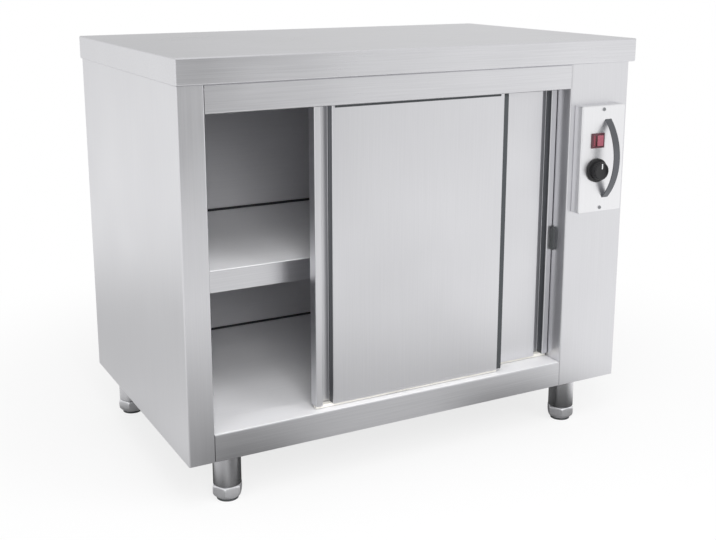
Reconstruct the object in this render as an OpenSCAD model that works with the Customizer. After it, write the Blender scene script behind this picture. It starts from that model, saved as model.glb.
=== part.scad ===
// Free-standing hot cupboard: a heated steel cabinet with sliding doors under a worktop.
// Front at -Y, origin on the floor under the middle of the whole box.

/* [Worktop] */
// Width of the worktop
top_w = 1050; // [900:1:1400]
// Depth of the worktop
top_d = 650; // [600:1:750]
// Height of the turned-down worktop edge
top_h = 50; // [44:1:60]
// Width of the lip folded in under the worktop edge
top_lip = 30; // [24:1:50]
// Overhang of the worktop past the left side
over_left = 3; // [1:1:15]
// Overhang of the worktop past the right side
over_right = 13; // [1:1:15]
// Overhang of the worktop past the front frame
over_front = 8; // [2:1:12]
// Overhang of the worktop past the back panel
over_back = 8; // [4:1:12]
// Width of a stiffening channel under the worktop
stiffener_w = 60; // [40:1:80]
// Height of a stiffening channel
stiffener_h = 14; // [10:1:18]
// Distance of each stiffening channel from the worktop's middle line
stiffener_y = 150; // [100:1:200]

/* [Body] */
// Height of the body under the worktop
body_h = 725; // [680:1:800]
// Thickness of the body's sheet steel
sheet = 1.5; // [1:0.1:2]
// Width of the left front pillar
left_post_w = 53; // [50:1:80]
// Width of the right front pillar, which carries the controls
right_post_w = 155; // [150:1:180]
// Height of the top front rail
top_rail_h = 53; // [52:1:70]
// Height of the bottom front rail
bottom_rail_h = 56; // [50:1:70]
// Depth of the pillar returns that form the door reveals
reveal_d = 72; // [71:1:80]
// Depth of the lip under the top front rail
rail_lip = 9; // [5:0.5:10]
// Depth of the return along the top of the top front rail
rail_return = 40; // [30:1:60]
// Thickness of the left wall, outer face to inner face
wall_t = 40; // [30:1:46]
// Thickness of the back wall, outer face to inner face
back_t = 30; // [24:1:40]
// Height of the space above the ceiling, inside the body
ceiling_drop = 9; // [8:1:10]
// Distance from the right reveal to the partition
partition_set = 12; // [6:1:16]
// Height of the cavity floor above the base
floor_h = 48; // [40:1:49]
// Thickness of the slab of insulation over the ceiling
ceiling_wool_t = 28; // [20:1:30]
// Clearance round loose inner panels
panel_gap = 1; // [0.5:0.1:2]

/* [Shelf] */
// Height of the shelf's top above the base
shelf_h = 350; // [300:1:420]
// Height of the shelf's front and back edges
shelf_edge_h = 45; // [35:1:50]
// Distance of the shelf's front edge behind the front frame
shelf_set = 104; // [90:1:130]
// Gap behind the shelf for the air
shelf_back_gap = 6; // [4:0.5:20]
// Width of a shelf bracket's legs
bracket_w = 25; // [18:1:30]
// Thickness of a shelf bracket
bracket_t = 2; // [1.5:0.1:3]
// Distance of a bracket's ends inside the shelf's edges
bracket_inset = 25; // [15:1:40]

/* [Doors] */
// Length by which the closed doors overlap
door_overlap = 66; // [60:1:96]
// Thickness of a door
door_t = 24; // [22:0.5:25]
// Thickness of the door skins
door_sheet = 1; // [0.8:0.1:1.2]
// Distance of the front door's face behind the front frame
door_set = 12; // [11:0.5:13]
// Distance from the front door's face to the rear door's face
door_pitch = 32; // [30:0.5:33]
// Length of door hidden behind the top rail
door_over = 10; // [7:0.5:11]
// Gap under a door, down to the sill
door_gap = 8; // [7:0.5:10]
// Gap between a closed door and its reveal
close_gap = 1; // [0.5:0.1:2]
// Distance that the left door stands open at rest
left_open = 221; // [0:0.5:300]
// Width of the lip beside a finger channel
channel_lip = 15; // [8:0.5:18]
// Width of a finger channel
channel_w = 23; // [18:0.5:30]
// Depth of a finger channel
channel_d = 20; // [12:0.5:21]
// Thickness of a door buffer
buffer_t = 6; // [5:0.5:12]
// Depth of a door buffer along the reveal
buffer_d = 10; // [8:0.5:16]
// Height of a door buffer
buffer_h = 53; // [40:1:70]
// Height of the buffers' middle above the base
buffer_z = 336; // [250:1:420]

/* [Door running gear] */
// Thickness of the top track's walls
track_t = 2; // [1.5:0.1:2.5]
// Diameter of a roller
roller_d = 20; // [18:0.5:22]
// Width of a roller
roller_w = 7; // [6:0.5:8]
// Diameter of a roller's axle
axle_d = 6; // [5:0.5:8]
// Distance of the rollers from the door's ends
roller_inset = 60; // [45:1:100]
// Thickness of a door hanger
hanger_t = 2.5; // [2:0.1:3]
// Length of a door hanger along the door
hanger_l = 36; // [28:1:50]
// Width of a rib of the door guide
rib_w = 3; // [2.5:0.1:4]
// Height of a guide rib
rib_h = 5; // [4:0.1:5.5]
// Thickness of the plate that joins the guide ribs
guide_t = 1; // [0.8:0.1:1.2]
// Length of the door guide, which stands on the sill where the doors overlap
guide_l = 50; // [40:1:56]
// Width of the runner along a door's lower edge
runner_w = 12; // [10:0.5:14]
// Distance of a runner's ends inside the door's ends
runner_inset = 2; // [1:0.5:4]

/* [Legs and feet] */
// Height of the body's underside above the floor
leg_h = 110; // [105:1:160]
// Diameter of a leg tube
leg_d = 57; // [50:0.5:64]
// Wall of a leg tube
leg_wall = 1.5; // [1.2:0.1:3]
// Distance of the front legs from the body's sides
front_leg_x = 98; // [70:1:120]
// Distance of the rear legs from the body's sides
rear_leg_x = 58; // [55:1:90]
// Distance of the legs from the body's front and back
leg_y = 60; // [55:1:80]
// Height of the hexagonal part of a foot
foot_h = 27; // [22:1:34]
// Width of a foot across its corners
foot_w = 64; // [58:0.5:72]
// Diameter of a foot's rounded lower end
foot_base_d = 48; // [44:1:52]
// Diameter of the foot's screw
stud_d = 12; // [10:1:16]
// Length of the foot's screw
stud_l = 48; // [42:1:55]
// Height of the plug pressed into the leg tube
plug_h = 18; // [14:1:22]
// Diameter of a foot pad
pad_d = 44; // [38:1:50]
// Height of a foot pad
pad_h = 5; // [4:0.5:8]
// Diameter of the pin on a foot pad
pad_pin_d = 10; // [8:0.5:11]
// Length of the pin on a foot pad
pad_pin_l = 9; // [7:0.5:12]

/* [Controls] */
// Width of the control box
box_w = 118; // [112:1:124]
// Height of the control box
box_h = 234; // [226:1:260]
// Depth of the control box
box_d = 26; // [22:0.5:32]
// Distance of the control box from the right reveal
box_set = 12; // [8:1:18]
// Distance of the control box's top below the worktop
box_drop = 88; // [60:1:110]
// Margin of the pillar's cut-out inside the control box
cutout_margin = 14; // [12:0.5:16]
// Distance of the switch and the knob left of the box's middle
control_x = 14; // [10:0.5:20]
// Height of the switch above the box's middle
switch_z = 41; // [38:0.5:48]
// Distance of the knob below the box's middle
knob_z = 24; // [20:0.5:30]
// Width of the switch's bezel
bezel_w = 34; // [33:0.5:36]
// Height of the switch's bezel
bezel_h = 32; // [31:0.5:34]
// Depth of the switch's bezel in front of the panel
bezel_t = 2.5; // [2:0.1:4]
// Width of the rocker
rocker_w = 24; // [22:0.5:25]
// Height of the rocker
rocker_h = 23; // [21:0.5:24]
// Tilt of the rocker each way
rocker_tilt = 10; // [8:0.5:12]
// Depth of the switch housing behind the panel
switch_d = 28; // [24:1:34]
// Diameter of the knob
knob_d = 52; // [44:0.5:56]
// Depth of the knob
knob_t = 20; // [18:0.5:22]
// Diameter of the thermostat's shaft
shaft_d = 6; // [5:0.5:8]
// Width and height of the thermostat
thermostat_w = 40; // [34:1:44]
// Depth of the thermostat behind the panel
thermostat_d = 32; // [26:1:40]
// Width of the guard strip
guard_w = 17; // [14:0.5:20]
// Thickness of the guard strip
guard_t = 2; // [1.5:0.1:3]
// Length of the guard between its ends
guard_l = 173; // [160:1:190]
// Distance that the guard stands in front of the control box
guard_proud = 34; // [30:0.5:40]
// Distance of the guard right of the box's middle
guard_x = 13; // [11:0.5:16]
// Diameter of the control box's screws
screw_d = 4; // [3:0.5:5]
// Distance of the control box's screws from its ends
screw_inset = 9; // [7:0.5:10]

/* [Heating] */
// Diameter of the fan wheel
fan_d = 150; // [120:1:160]
// Width of the fan wheel's blades
fan_blade_w = 26; // [20:1:30]
// Height of the fan's axis above the base
fan_z = 205; // [195:1:210]
// Depth of the fan housing behind the partition
housing_d = 58; // [54:1:64]
// Width and height of the fan housing
housing_w = 270; // [262:1:290]
// Diameter of the fan motor
motor_d = 76; // [60:1:90]
// Length of the fan motor
motor_l = 56; // [44:1:62]
// Diameter of the fan's shaft
fan_shaft_d = 8; // [6:0.5:10]
// Diameter of the heating element's ring, at the middle of its tube
ring_d = 200; // [185:1:215]
// Diameter of the heating element's tube
element_d = 8.5; // [6.5:0.5:10]
// Width of an air slot
slot_w = 6; // [4:0.5:8]
// Diameter of the cord's way through the gland
gland_bore_d = 10; // [6:0.5:12]
// Diameter of the gland's thread
gland_d = 20; // [16:0.5:25]

/* [Fits] */
// Radial clearance of a running fit
run_fit = 0.05; // [0.02:0.01:0.1]
// Clearance between faces that move past each other
move_gap = 0.4; // [0.3:0.1:0.6]

/* [Hidden] */
$fn = 64;

steel = "#c8cacd";
bright_steel = "#d8dadc";
dark_plastic = "#1c1c1e";
pale_nylon = "#e8e6df";
wool = "#d9c88f";

// Lengths that a cut runs on past a face, that joined shapes overlap, and that part two cuts side by side
cut = 1;
join = 1;
hair = 0.01;

// Body faces: sides, front, back, underside and top
front_reach = box_d + guard_proud - over_front;
box_depth = top_d + front_reach;
top_y0 = front_reach - box_depth / 2;
top_y1 = box_depth / 2;
left_x = over_left - top_w / 2;
right_x = top_w / 2 - over_right;
front_y = top_y0 + over_front;
back_y = top_y1 - over_back;
base_z = leg_h;
body_top_z = base_z + body_h;
top_z = body_top_z + top_h;

// Door opening in the front frame
open_x0 = left_x + left_post_w;
open_x1 = right_x - right_post_w;
open_z0 = base_z + bottom_rail_h;
open_z1 = body_top_z - top_rail_h;
inner_y0 = front_y + reveal_d;

// Cavity faces
cavity_x0 = left_x + wall_t;
cavity_x1 = open_x1 + partition_set;
cavity_y1 = back_y - back_t;
inside_z0 = base_z + sheet;
ceiling_z = body_top_z - ceiling_drop;
floor_z = base_z + floor_h;
shelf_z = base_z + shelf_h;
shelf_y0 = front_y + shelf_set;
shelf_y1 = cavity_y1 - shelf_back_gap;
outer_back_y = back_y - sheet;

// Doors and their running gear
door_z0 = open_z0 + door_gap;
door_z1 = open_z1 + door_over;
front_door_y = front_y + door_set;
rear_door_y = front_door_y + door_pitch;
door_w = (open_x1 - open_x0 - 2 * close_gap + door_overlap) / 2;
left_door_x = open_x0 + close_gap + left_open;
right_door_x = open_x1 - close_gap - door_w;
hanger_y = 2;
side_gap = 1;
web_gap = 7;
lift_gap = 1.5;
ledge_y = hanger_y + hanger_t + side_gap;
roller_y = ledge_y + side_gap;
web_y = roller_y + roller_w + web_gap;
ledge_z = door_z1 + hanger_t + lift_gap + track_t;
roller_z = ledge_z + move_gap + roller_d / 2;
hanger_h = roller_z + axle_d - door_z1;
guide_inset = 4;
runner_z0 = open_z0 + guide_t + move_gap;

// Legs, feet and pads
foot_z0 = pad_h + move_gap;
foot_z1 = foot_z0 + foot_h;
tube_z0 = foot_z1 + move_gap;
stud_bore_d = stud_d + 2 * run_fit;
leg_cap_t = 3;
foot_edge = 4;
foot_flare = 24;
leg_front_y = front_y + leg_y;
leg_back_y = back_y - leg_y;

// Control box
box_x0 = open_x1 + box_set;
box_mid_x = box_x0 + box_w / 2;
box_z1 = body_top_z - box_drop;
box_mid_z = box_z1 - box_h / 2;
panel_y = front_y - box_d;
controls_x = box_mid_x - control_x;
switch_mid_z = box_mid_z + switch_z;
knob_mid_z = box_mid_z - knob_z;
pivot_d = 3;
pivot_set = 1;
pivot_y = panel_y + pivot_set;
pivot_end = 1.5;
pocket_d = 9;
rocker_side_gap = 1.4;
rocker_end_gap = 0.6;
pocket_w = rocker_w + 2 * rocker_side_gap;
pocket_h = rocker_h + 2 * rocker_end_gap;
bezel_lap = 2;
bushing_wall = 2.5;
bushing_d = shaft_d + 2 * bushing_wall;
bushing_l = 5;
thermostat_floor = 9;
shaft_end_gap = 3;
guard_r = (guard_l * guard_l / 4 + guard_proud * guard_proud) / (2 * guard_proud);

// Fan and heater, between the partition and the right side
duct_x = cavity_x1 + sheet;
fan_y = (inner_y0 + cavity_y1) / 2;
fan_mid_z = base_z + fan_z;
housing_x1 = duct_x + housing_d;
wheel_gap = 10;
wheel_x0 = duct_x + wheel_gap;
disc_t = 2;
hub_d = 24;
element_gap = 24;
element_x = duct_x + element_gap;
motor_floor = 6;
fan_shaft_gap = 6;
service_gap = 20;
service_x = (duct_x + right_x) / 2;
service_y = leg_back_y - leg_d / 2 - gland_d - service_gap;
terminal_gap = 24;
terminal_l = 30;

// Block between two corners, given as low and high along each axis
module plate(x0, x1, y0, y1, z0, z1) {
    translate([x0, y0, z0]) cube([x1 - x0, y1 - y0, z1 - z0]);
}

// Round bar along X, from a given end
module bar_x(d, l) {
    rotate([0, 90, 0]) cylinder(d = d, h = l);
}

// Round bar along Y, from a given end
module bar_y(d, l) {
    rotate([-90, 0, 0]) cylinder(d = d, h = l);
}

// Slot with round ends that runs along Y and is cut along X
module slot_x(length, width, depth) {
    bar = length - width;
    translate([0, -bar / 2, -width / 2]) cube([depth, bar, width]);
    for (side = [-1, 1])
        translate([0, side * bar / 2, 0]) bar_x(width, depth);
}

// Worktop: one folded sheet with turned-down edges and a lip folded in under them
module worktop() {
    half_w = top_w / 2;
    color(bright_steel) difference() {
        plate(-half_w, half_w, top_y0, top_y1, body_top_z, top_z);
        plate(-half_w + sheet, half_w - sheet, top_y0 + sheet, top_y1 - sheet,
            body_top_z + sheet, top_z - sheet);
        plate(-half_w + top_lip, half_w - top_lip, top_y0 + top_lip, top_y1 - top_lip,
            body_top_z - sheet, body_top_z + 2 * sheet);
    }
}

// Two open channels fixed under the worktop's sheet
module worktop_stiffeners() {
    mid_y = (top_y0 + top_y1) / 2;
    z1 = top_z - sheet;
    z0 = z1 - stiffener_h;
    end_gap = 10;
    half_l = top_w / 2 - top_lip - end_gap;
    color(steel) for (side = [-1, 1])
        translate([0, mid_y + side * stiffener_y, 0]) difference() {
            plate(-half_l, half_l, -stiffener_w / 2, stiffener_w / 2, z0, z1);
            plate(-half_l - cut, half_l + cut, sheet - stiffener_w / 2, stiffener_w / 2 - sheet,
                z0 + sheet, z1 + cut);
        }
}

// Left side, folded round into the front pillar and its reveal
module left_side_panel() {
    color(steel) {
        plate(left_x, left_x + sheet, front_y, outer_back_y, base_z, body_top_z);
        plate(left_x, open_x0, front_y, front_y + sheet, base_z, body_top_z);
        plate(open_x0 - sheet, open_x0, front_y, inner_y0, inside_z0, ceiling_z);
    }
}

// Flat right side
module right_side_panel() {
    color(steel) plate(right_x - sheet, right_x, front_y + sheet, outer_back_y, base_z, body_top_z);
}

// Places of the control box's two screws
module at_screws() {
    for (side = [-1, 1])
        translate([box_mid_x, 0, box_mid_z + side * (box_h / 2 - screw_inset)]) children();
}

// Wide right pillar with its reveal, cut out behind the control box
module control_pillar() {
    cut_x0 = box_x0 + cutout_margin;
    cut_x1 = box_x0 + box_w - cutout_margin;
    cut_z0 = box_z1 - box_h + cutout_margin;
    cut_z1 = box_z1 - cutout_margin;
    color(bright_steel) {
        difference() {
            plate(open_x1, right_x, front_y, front_y + sheet, base_z, body_top_z);
            plate(cut_x0, cut_x1, front_y - cut, front_y + sheet + cut, cut_z0, cut_z1);
            at_screws() translate([0, front_y - cut, 0]) bar_y(screw_d + 2 * run_fit, sheet + 2 * cut);
        }
        plate(open_x1, open_x1 + sheet, front_y, inner_y0, inside_z0, ceiling_z);
    }
}

// Back panel with air slots behind the technical compartment
module back_panel() {
    slots = 6;
    slot_l = 80;
    slot_pitch = 16;
    vent_z = base_z + body_h / 2;
    color(steel) difference() {
        plate(left_x, right_x, outer_back_y, back_y, base_z, body_top_z);
        for (i = [0 : slots - 1])
            translate([service_x, outer_back_y - cut, vent_z + (i - (slots - 1) / 2) * slot_pitch])
                rotate([0, 0, 90]) mirror([0, 1, 0]) slot_x(slot_l, slot_w, sheet + 2 * cut);
    }
}

// Top front rail: a folded channel butted between the pillars
module top_front_rail() {
    color(bright_steel) {
        plate(open_x0, open_x1, front_y, front_y + sheet, open_z1, body_top_z);
        plate(open_x0, open_x1, front_y, front_y + rail_lip, open_z1, open_z1 + sheet);
        plate(open_x0, open_x1, front_y, front_y + rail_return, body_top_z - sheet, body_top_z);
    }
}

// Bottom front rail, folded back into the sill and down to the base
module bottom_front_rail() {
    color(bright_steel) {
        plate(open_x0, open_x1, front_y, front_y + sheet, base_z, open_z0);
        plate(open_x0, open_x1, front_y, inner_y0, open_z0 - sheet, open_z0);
        plate(open_x0, open_x1, inner_y0 - sheet, inner_y0, inside_z0, open_z0);
    }
}

// Place of the cord's gland in the base
module at_gland() {
    translate([service_x, service_y, base_z]) children();
}

// Base panel between the sides, drilled for the gland
module base_panel() {
    color(steel) difference() {
        plate(left_x + sheet, right_x - sheet, front_y + sheet, outer_back_y, base_z, inside_z0);
        at_gland() translate([0, 0, -cut]) cylinder(d = gland_d + 2 * run_fit, h = sheet + 2 * cut);
    }
}

// Left liner with a return out to the left reveal
module left_liner() {
    color(steel) {
        plate(cavity_x0 - sheet, cavity_x0, inner_y0, cavity_y1, inside_z0, ceiling_z);
        plate(cavity_x0 - sheet, open_x0, inner_y0, inner_y0 + sheet, inside_z0, ceiling_z);
    }
}

// Back of the cavity
module back_liner() {
    color(steel) plate(cavity_x0 - sheet, duct_x, cavity_y1, cavity_y1 + sheet, inside_z0, ceiling_z);
}

// Ceiling over the cavity, the track and the technical compartment
module ceiling_liner() {
    color(steel) plate(left_x + sheet, right_x - sheet, front_y + sheet, outer_back_y,
        ceiling_z, ceiling_z + sheet);
}

// Lift-out cavity floor that stands on its turned-down edges
module cavity_floor() {
    x0 = cavity_x0 + panel_gap;
    x1 = cavity_x1 - panel_gap;
    y0 = inner_y0 + sheet;
    y1 = cavity_y1 - panel_gap;
    color(steel) {
        plate(x0, x1, y0, y1, floor_z - sheet, floor_z);
        plate(x0, x1, y0, y0 + sheet, inside_z0, floor_z);
        plate(x0, x1, y1 - sheet, y1, inside_z0, floor_z);
    }
}

// Rows of air slots in the partition: the fan draws through the middle and blows out above and below
module air_slots() {
    inlet_rows = 5;
    inlet_pitch = 14;
    inlet_l = 90;
    outlet_l = 200;
    outlet_z = 112;
    translate([cavity_x1 - cut, fan_y, fan_mid_z]) {
        for (i = [0 : inlet_rows - 1])
            translate([0, 0, (i - (inlet_rows - 1) / 2) * inlet_pitch])
                slot_x(inlet_l, slot_w, sheet + 2 * cut);
        for (side = [-1, 1])
            translate([0, 0, side * outlet_z]) slot_x(outlet_l, slot_w, sheet + 2 * cut);
    }
}

// Place where the thermostat's capillary passes the partition
bulb_set = 90;
bulb_drop = 60;
bulb_y = inner_y0 + bulb_set;
bulb_z = ceiling_z - bulb_drop;
bulb_d = 6;
bulb_l = 100;
capillary_d = 3;

// Wall between the cavity and the technical compartment
module partition_wall() {
    color(steel) difference() {
        union() {
            plate(cavity_x1, duct_x, inner_y0, cavity_y1, inside_z0, ceiling_z);
            plate(open_x1, duct_x, inner_y0, inner_y0 + sheet, inside_z0, ceiling_z);
        }
        air_slots();
        translate([cavity_x1 - cut, bulb_y, bulb_z]) bar_x(capillary_d + 2 * run_fit, sheet + 2 * cut);
    }
}

// Slabs of mineral wool in the left wall, the back wall and over the ceiling
module wall_insulation() {
    slab_y0 = max(top_y0 + top_lip, front_y + rail_return) + panel_gap;
    color(wool) {
        plate(left_x + sheet, cavity_x0 - sheet, inner_y0, cavity_y1, inside_z0, ceiling_z);
        plate(left_x + sheet, duct_x, cavity_y1 + sheet, outer_back_y, inside_z0, ceiling_z);
        plate(left_x + top_lip, right_x - top_lip, slab_y0, top_y1 - top_lip - panel_gap,
            ceiling_z + sheet, ceiling_z + sheet + ceiling_wool_t);
    }
}

// Shelf: a sheet folded down along its front and back
module shelf() {
    x0 = cavity_x0 + panel_gap;
    x1 = cavity_x1 - panel_gap;
    color(steel) {
        plate(x0, x1, shelf_y0, shelf_y1, shelf_z - sheet, shelf_z);
        plate(x0, x1, shelf_y0, shelf_y0 + sheet, shelf_z - shelf_edge_h, shelf_z);
        plate(x0, x1, shelf_y1 - sheet, shelf_y1, shelf_z - shelf_edge_h, shelf_z);
    }
}

// One angle under an end of the shelf; way points into the cavity
module shelf_bracket(x, way) {
    z1 = shelf_z - sheet;
    y0 = shelf_y0 + bracket_inset;
    y1 = shelf_y1 - bracket_inset;
    translate([x, 0, 0]) mirror([way < 0 ? 1 : 0, 0, 0]) {
        plate(0, bracket_w, y0, y1, z1 - bracket_t, z1);
        plate(0, bracket_t, y0, y1, z1 - bracket_w, z1);
    }
}

// Pair of shelf brackets
module shelf_brackets() {
    color(steel) {
        shelf_bracket(cavity_x0, 1);
        shelf_bracket(cavity_x1, -1);
    }
}

// Twin top track: a plate under the ceiling with two webs, each with a ledge for the rollers
module door_track() {
    color(steel) {
        plate(open_x0, open_x1, front_door_y, rear_door_y + web_y + track_t,
            ceiling_z - track_t, ceiling_z);
        for (y = [front_door_y, rear_door_y]) {
            plate(open_x0, open_x1, y + web_y, y + web_y + track_t, ledge_z - track_t, ceiling_z);
            plate(open_x0, open_x1, y + ledge_y, y + web_y + track_t, ledge_z - track_t, ledge_z);
        }
    }
}

// Short guide on the middle of the sill, under both doors wherever they stand, with one rib for each
module door_guide() {
    guide_y0 = front_door_y + guide_inset;
    guide_y1 = rear_door_y + door_t - guide_inset;
    color(bright_steel) translate([(open_x0 + open_x1) / 2, 0, open_z0]) {
        plate(-guide_l / 2, guide_l / 2, guide_y0, guide_y1, 0, guide_t);
        for (y = [front_door_y, rear_door_y])
            translate([0, y + door_t / 2, 0])
                plate(-guide_l / 2, guide_l / 2, -rib_w / 2, rib_w / 2, 0, guide_t + rib_h);
    }
}

// One oval rubber buffer that stands on a reveal, seen along X
module door_buffer() {
    bar = buffer_h - buffer_d;
    plate(0, buffer_t, -buffer_d / 2, buffer_d / 2, -bar / 2, bar / 2);
    for (side = [-1, 1])
        translate([0, 0, side * bar / 2]) bar_x(buffer_d, buffer_t);
}

// Buffers: the front door meets the right one, the rear door the left one
module door_buffers() {
    front_buffer_y = rear_door_y - move_gap - buffer_d / 2;
    rear_buffer_y = rear_door_y + door_t - buffer_d / 2;
    color(dark_plastic) {
        translate([open_x1 - buffer_t, front_buffer_y, base_z + buffer_z]) door_buffer();
        translate([open_x0, rear_buffer_y, base_z + buffer_z]) door_buffer();
    }
}

// Places a door piece: x along the door from its closing edge, y back from its face
module at_door(side) {
    if (side < 0)
        translate([left_door_x, front_door_y, 0]) children();
    else
        translate([right_door_x + door_w, rear_door_y, 0]) mirror([1, 0, 0]) children();
}

// Front skin of a door: lip, finger channel, face, end returns and top and bottom returns
module door_front(side) {
    c0 = channel_lip;
    c1 = channel_lip + channel_w;
    s = door_sheet;
    color(bright_steel) at_door(side) difference() {
        plate(0, door_w, 0, door_t, door_z0, door_z1);
        plate(s, c0 - s, s, door_t + cut, door_z0 + s, door_z1 - s);
        plate(c0, c1, -cut, channel_d - s, door_z0 - cut, door_z1 + cut);
        plate(c0 - s - hair, c1 + s + hair, channel_d, door_t + cut, door_z0 + s, door_z1 - s);
        plate(c1 + s, door_w - s, s, door_t + cut, door_z0 + s, door_z1 - s);
    }
}

// Back skin of a door, let in between the returns of the front skin
module door_back(side) {
    s = door_sheet;
    color(steel) at_door(side) plate(s, door_w - s, door_t - s, door_t, door_z0 + s, door_z1 - s);
}

// Insulation between the skins of a door
module door_insulation(side) {
    s = door_sheet;
    color(wool) at_door(side)
        plate(channel_lip + channel_w + s, door_w - s, s, door_t - s, door_z0 + s, door_z1 - s);
}

// Distances of a door's two rollers along the door
function roller_x(i) = i == 0 ? roller_inset : door_w - roller_inset;

// Hangers: angles on the door's top edge, each with the axle of one roller
module door_hangers(side) {
    axle_l = roller_y + roller_w + side_gap - hanger_y;
    base_w = door_t - 2 * hanger_y;
    color(steel) at_door(side) for (i = [0, 1])
        translate([roller_x(i), hanger_y, door_z1]) {
            plate(-hanger_l / 2, hanger_l / 2, 0, base_w, 0, hanger_t);
            plate(-hanger_l / 2, hanger_l / 2, 0, hanger_t, 0, hanger_h);
            translate([0, 0, roller_z - door_z1]) bar_y(axle_d, axle_l);
        }
}

// Nylon roller on its hanger's axle
module door_roller(side, i) {
    color(pale_nylon) at_door(side) translate([roller_x(i), roller_y, roller_z]) difference() {
        bar_y(roller_d, roller_w);
        translate([0, -cut, 0]) bar_y(axle_d + 2 * run_fit, roller_w + 2 * cut);
    }
}

// Nylon runner under the door, with a groove along it for the guide's rib
module door_runner(side) {
    groove_w = rib_w + 2 * move_gap;
    groove_z1 = open_z0 + guide_t + rib_h + move_gap;
    color(pale_nylon) at_door(side) translate([0, door_t / 2, 0]) difference() {
        plate(runner_inset, door_w - runner_inset, -runner_w / 2, runner_w / 2, runner_z0, door_z0);
        plate(-cut, door_w + cut, -groove_w / 2, groove_w / 2, runner_z0 - cut, groove_z1);
    }
}

// Places of a leg: side along X, end along Y, each -1 or 1
module at_leg(side, end) {
    inset = end < 0 ? front_leg_x : rear_leg_x;
    x = side < 0 ? left_x + inset : right_x - inset;
    translate([x, end < 0 ? leg_front_y : leg_back_y, 0]) children();
}

// The four leg tubes, each closed at its top where it is fixed to the base
module leg_tubes() {
    color(bright_steel) for (side = [-1, 1], end = [-1, 1])
        at_leg(side, end) difference() {
            translate([0, 0, tube_z0]) cylinder(d = leg_d, h = base_z - tube_z0);
            translate([0, 0, tube_z0 - cut])
                cylinder(d = leg_d - 2 * leg_wall, h = base_z - tube_z0 - leg_cap_t + cut);
        }
}

// Threaded plugs pressed into the lower ends of the leg tubes
module leg_plugs() {
    color(steel) for (side = [-1, 1], end = [-1, 1])
        at_leg(side, end) translate([0, 0, tube_z0]) difference() {
            cylinder(d = leg_d - 2 * leg_wall, h = plug_h);
            translate([0, 0, -cut]) cylinder(d = stud_bore_d, h = plug_h + 2 * cut);
        }
}

// Hexagonal foot with rounded edges, its screw, and a bore for the pad's pin
module foot(side, end) {
    pin_bore_l = pad_pin_l + move_gap;
    rim_d = foot_w - 2 * foot_edge;
    color(bright_steel) at_leg(side, end) difference() {
        union() {
            intersection() {
                translate([0, 0, foot_z0]) cylinder(d = foot_w, h = foot_h, $fn = 6);
                translate([0, 0, foot_z0]) cylinder(d1 = foot_base_d, d2 = foot_w + foot_flare, h = foot_h);
                translate([0, 0, foot_z0]) cylinder(d1 = rim_d + 2 * foot_h, d2 = rim_d, h = foot_h);
            }
            translate([0, 0, foot_z1 - join]) cylinder(d = stud_d, h = stud_l + join);
        }
        translate([0, 0, foot_z0 - cut]) cylinder(d = pad_pin_d + 2 * run_fit, h = pin_bore_l + cut);
    }
}

// Dark pad under a foot, with the pin that the foot turns on
module pad(side, end) {
    color(dark_plastic) at_leg(side, end) {
        cylinder(d = pad_d, h = pad_h);
        cylinder(d = pad_pin_d, h = foot_z0 + pad_pin_l);
    }
}

// Control box: a tray with its open side against the pillar
module control_box() {
    x1 = box_x0 + box_w;
    z0 = box_z1 - box_h;
    hole_w = bezel_w - 2 * bezel_lap;
    hole_h = bezel_h - 2 * bezel_lap;
    color(bright_steel) difference() {
        plate(box_x0, x1, panel_y, front_y, z0, box_z1);
        plate(box_x0 + sheet, x1 - sheet, panel_y + sheet, front_y + cut, z0 + sheet, box_z1 - sheet);
        translate([controls_x, 0, switch_mid_z])
            plate(-hole_w / 2, hole_w / 2, panel_y - cut, panel_y + sheet + cut, -hole_h / 2, hole_h / 2);
        translate([controls_x, panel_y - cut, knob_mid_z]) bar_y(bushing_d + 2 * run_fit, sheet + 2 * cut);
        at_screws() translate([0, panel_y - cut, 0]) bar_y(screw_d + 2 * run_fit, sheet + 2 * cut);
    }
}

// Two long screws through the control box into the pillar
module control_screws() {
    head_t = 2;
    head_d = 2 * screw_d;
    thread_past = 6;
    screw_l = box_d + sheet + thread_past;
    color(steel) at_screws() translate([0, panel_y, 0]) {
        bar_y(screw_d, screw_l);
        translate([0, -head_t, 0]) bar_y(head_d, head_t);
    }
}

// Bowed strip in front of the controls, its ends on the control box
module guard_strip() {
    centre_y = panel_y - guard_proud + guard_r;
    color(bright_steel) intersection() {
        translate([box_mid_x + guard_x - guard_w / 2, centre_y, box_mid_z]) difference() {
            bar_x(2 * guard_r, guard_w);
            translate([-cut, 0, 0]) bar_x(2 * (guard_r - guard_t), guard_w + 2 * cut);
        }
        plate(box_x0, box_x0 + box_w, panel_y - 2 * guard_proud, panel_y,
            box_mid_z - guard_l, box_mid_z + guard_l);
    }
}

// Switch housing with its bezel, pocket and pivot bores
module switch_housing() {
    body_w = bezel_w - 2 * bezel_lap - 2 * run_fit;
    body_hz = bezel_h - 2 * bezel_lap - 2 * run_fit;
    pivot_l = pocket_h + 2 * pivot_end;
    color(dark_plastic) translate([controls_x, 0, switch_mid_z]) difference() {
        union() {
            plate(-bezel_w / 2, bezel_w / 2, panel_y - bezel_t, panel_y, -bezel_h / 2, bezel_h / 2);
            plate(-body_w / 2, body_w / 2, panel_y - 0.5, panel_y + switch_d, -body_hz / 2, body_hz / 2);
        }
        plate(-pocket_w / 2, pocket_w / 2, panel_y - bezel_t - cut, panel_y + pocket_d,
            -pocket_h / 2, pocket_h / 2);
        translate([0, pivot_y, -pivot_l / 2]) cylinder(d = pivot_d + 2 * run_fit, h = pivot_l);
    }
}

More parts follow.
